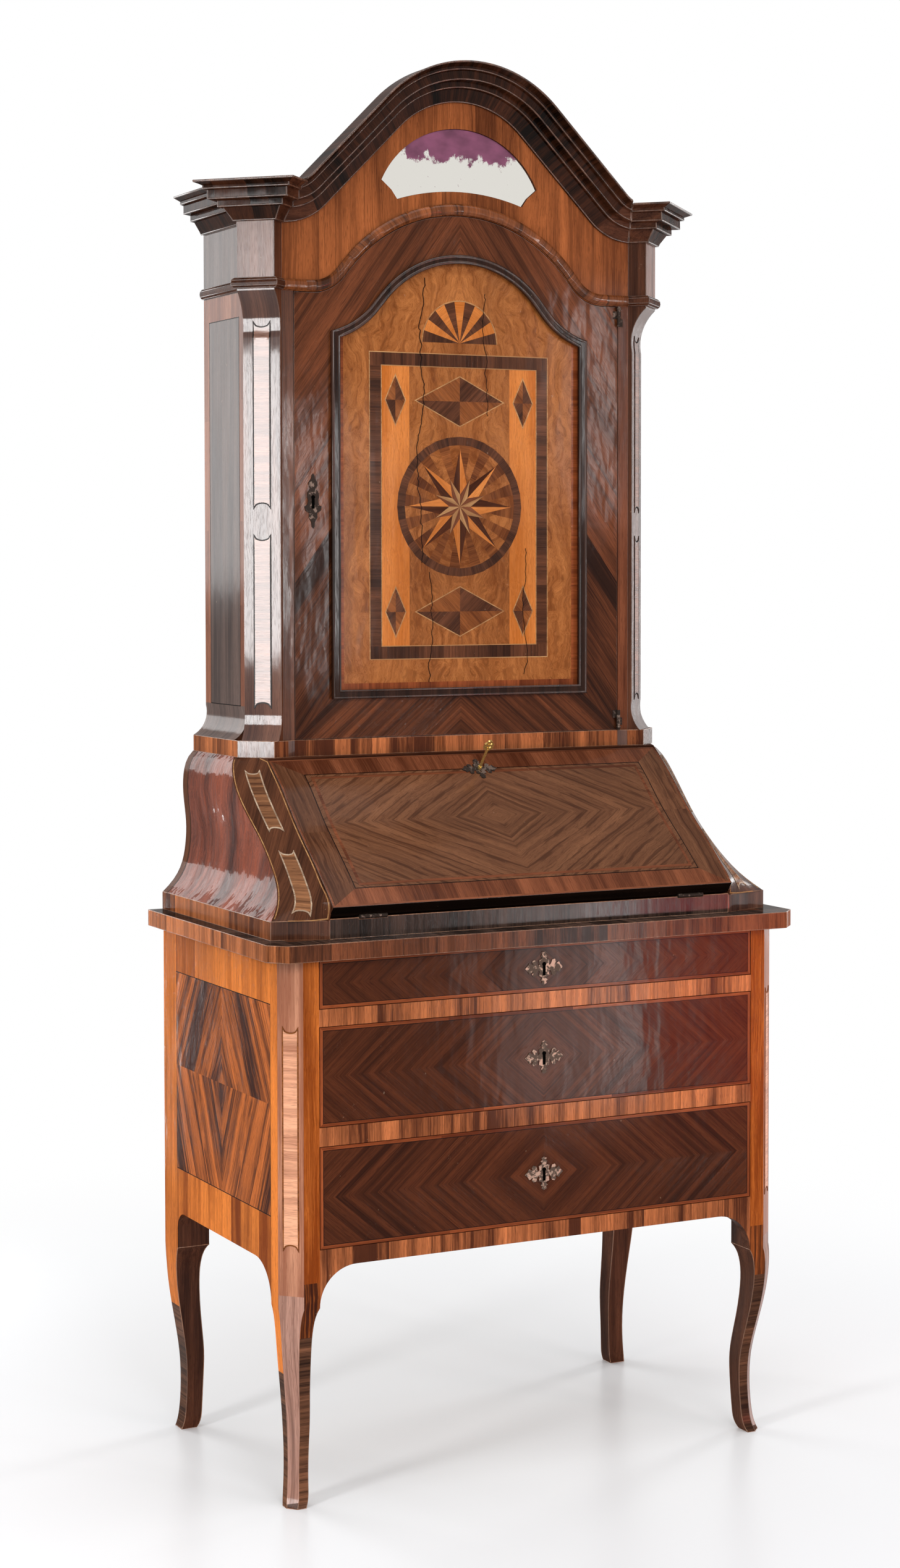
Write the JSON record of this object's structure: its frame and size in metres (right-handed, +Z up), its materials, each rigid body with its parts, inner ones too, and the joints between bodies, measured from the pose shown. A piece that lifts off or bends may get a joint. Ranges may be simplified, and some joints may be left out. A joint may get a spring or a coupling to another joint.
{
  "type": "bureau cabinet",
  "caption": "Veneered bureau cabinet: drawers on cabriole legs, a slant-front desk with a hinged fall, and a tall cupboard with an arched door under an ogee cornice.",
  "frame": {"origin": "on the floor under the middle of the slab, the centre of the bottom of the bounding box", "axes": "+Z up, +Y towards the back, +X to the right seen from the front"},
  "size_m": [0.962, 0.529, 2.3079],
  "materials": {
    "veneer_dark": "french polished",
    "veneer_mid": "french polished",
    "veneer_gold": "french polished",
    "carcase_pine": "plain sawn",
    "drawer_oak": "plain sawn",
    "iron": "dark",
    "bronze": "dark patina",
    "brass": "rubbed",
    "silvered_glass": "old silvering"
  },
  "bodies": {
    "carcase": {"leg_front_left": "veneer_dark", "leg_front_right": "veneer_dark", "leg_back_left": "veneer_dark", "leg_back_right": "veneer_dark", "case_side_left": "veneer_dark", "case_side_right": "veneer_dark", "case_back": "carcase_pine", "drawer_rail_upper": "veneer_dark", "drawer_rail_lower": "veneer_dark", "front_apron": "veneer_mid", "drawer_runners": "carcase_pine", "slab": "veneer_dark", "desk_side_left": "veneer_dark", "desk_side_right": "veneer_dark", "desk_ledge": "veneer_dark", "desk_bed": "carcase_pine", "desk_back": "carcase_pine", "desk_top": "veneer_dark", "pigeonholes": "carcase_pine", "fall_hinge_leaves": "iron", "cabinet_base": "veneer_dark", "cabinet_side_left": "veneer_mid", "cabinet_side_right": "veneer_mid", "cabinet_back": "carcase_pine", "cabinet_roof": "carcase_pine", "pilaster_left": "veneer_mid", "pilaster_right": "veneer_mid", "door_stiles": "veneer_dark", "tympanum": "veneer_mid", "tympanum_mirror": "silvered_glass", "frieze_moulding": "veneer_dark", "cornice_arch": "veneer_dark", "cornice_left": "veneer_dark", "cornice_right": "veneer_dark", "shelf_lower": "carcase_pine", "shelf_upper": "carcase_pine", "door_hinge_leaves": "iron"},
    "fall": {"fall_board": "veneer_dark", "fall_lock": "iron", "fall_plate": "bronze", "fall_hinge_knuckles": "iron"},
    "key": {"fall_key": "brass"},
    "bolt": {"fall_lock_bolt": "iron"},
    "door": {"door_frame": "veneer_dark", "door_panel": "veneer_gold", "door_bead": "veneer_dark", "door_plate": "bronze", "door_hinge_barrels": "iron"},
    "top_drawer": {"top_drawer_front": "veneer_dark", "top_drawer_sides": "drawer_oak", "top_drawer_bottom": "drawer_oak", "top_drawer_lock": "bronze"},
    "middle_drawer": {"middle_drawer_front": "veneer_dark", "middle_drawer_sides": "drawer_oak", "middle_drawer_bottom": "drawer_oak", "middle_drawer_lock": "bronze"},
    "bottom_drawer": {"bottom_drawer_front": "veneer_dark", "bottom_drawer_sides": "drawer_oak", "bottom_drawer_bottom": "drawer_oak", "bottom_drawer_lock": "bronze"}
  },
  "joints": [
    {"name": "top_drawer_slide", "type": "slide", "parent": "carcase", "child": "top_drawer", "axis": [0, -1, 0], "range_m": [0, 0.24]},
    {"name": "middle_drawer_slide", "type": "slide", "parent": "carcase", "child": "middle_drawer", "axis": [0, -1, 0], "range_m": [0, 0.3]},
    {"name": "bottom_drawer_slide", "type": "slide", "parent": "carcase", "child": "bottom_drawer", "axis": [0, -1, 0], "range_m": [0, 0.3]},
    {"name": "fall_hinge", "type": "hinge", "parent": "carcase", "child": "fall", "pos_m": [0, -0.2215, 0.9225], "axis": [1, 0, 0], "range_deg": [0, 139.91]},
    {"name": "door_hinge", "type": "hinge", "parent": "carcase", "child": "door", "pos_m": [0.30739, 0.0378, 1.55], "axis": [0, 0, 1], "range_deg": [0, 110]},
    {"name": "key_turn", "type": "hinge", "parent": "fall", "child": "key", "pos_m": [0.004, 0.00046, 1.10934], "axis": [0, -0.644, 0.765], "range_deg": [0, 90]},
    {"name": "bolt_slide", "type": "slide", "parent": "fall", "child": "bolt", "axis": [0, 0.765, 0.644], "range_m": [0, 0.008]}
  ],
  "couplings": [
    {"joint": "key_turn", "follows": "bolt_slide", "rad_per_m": 196.35}
  ]
}
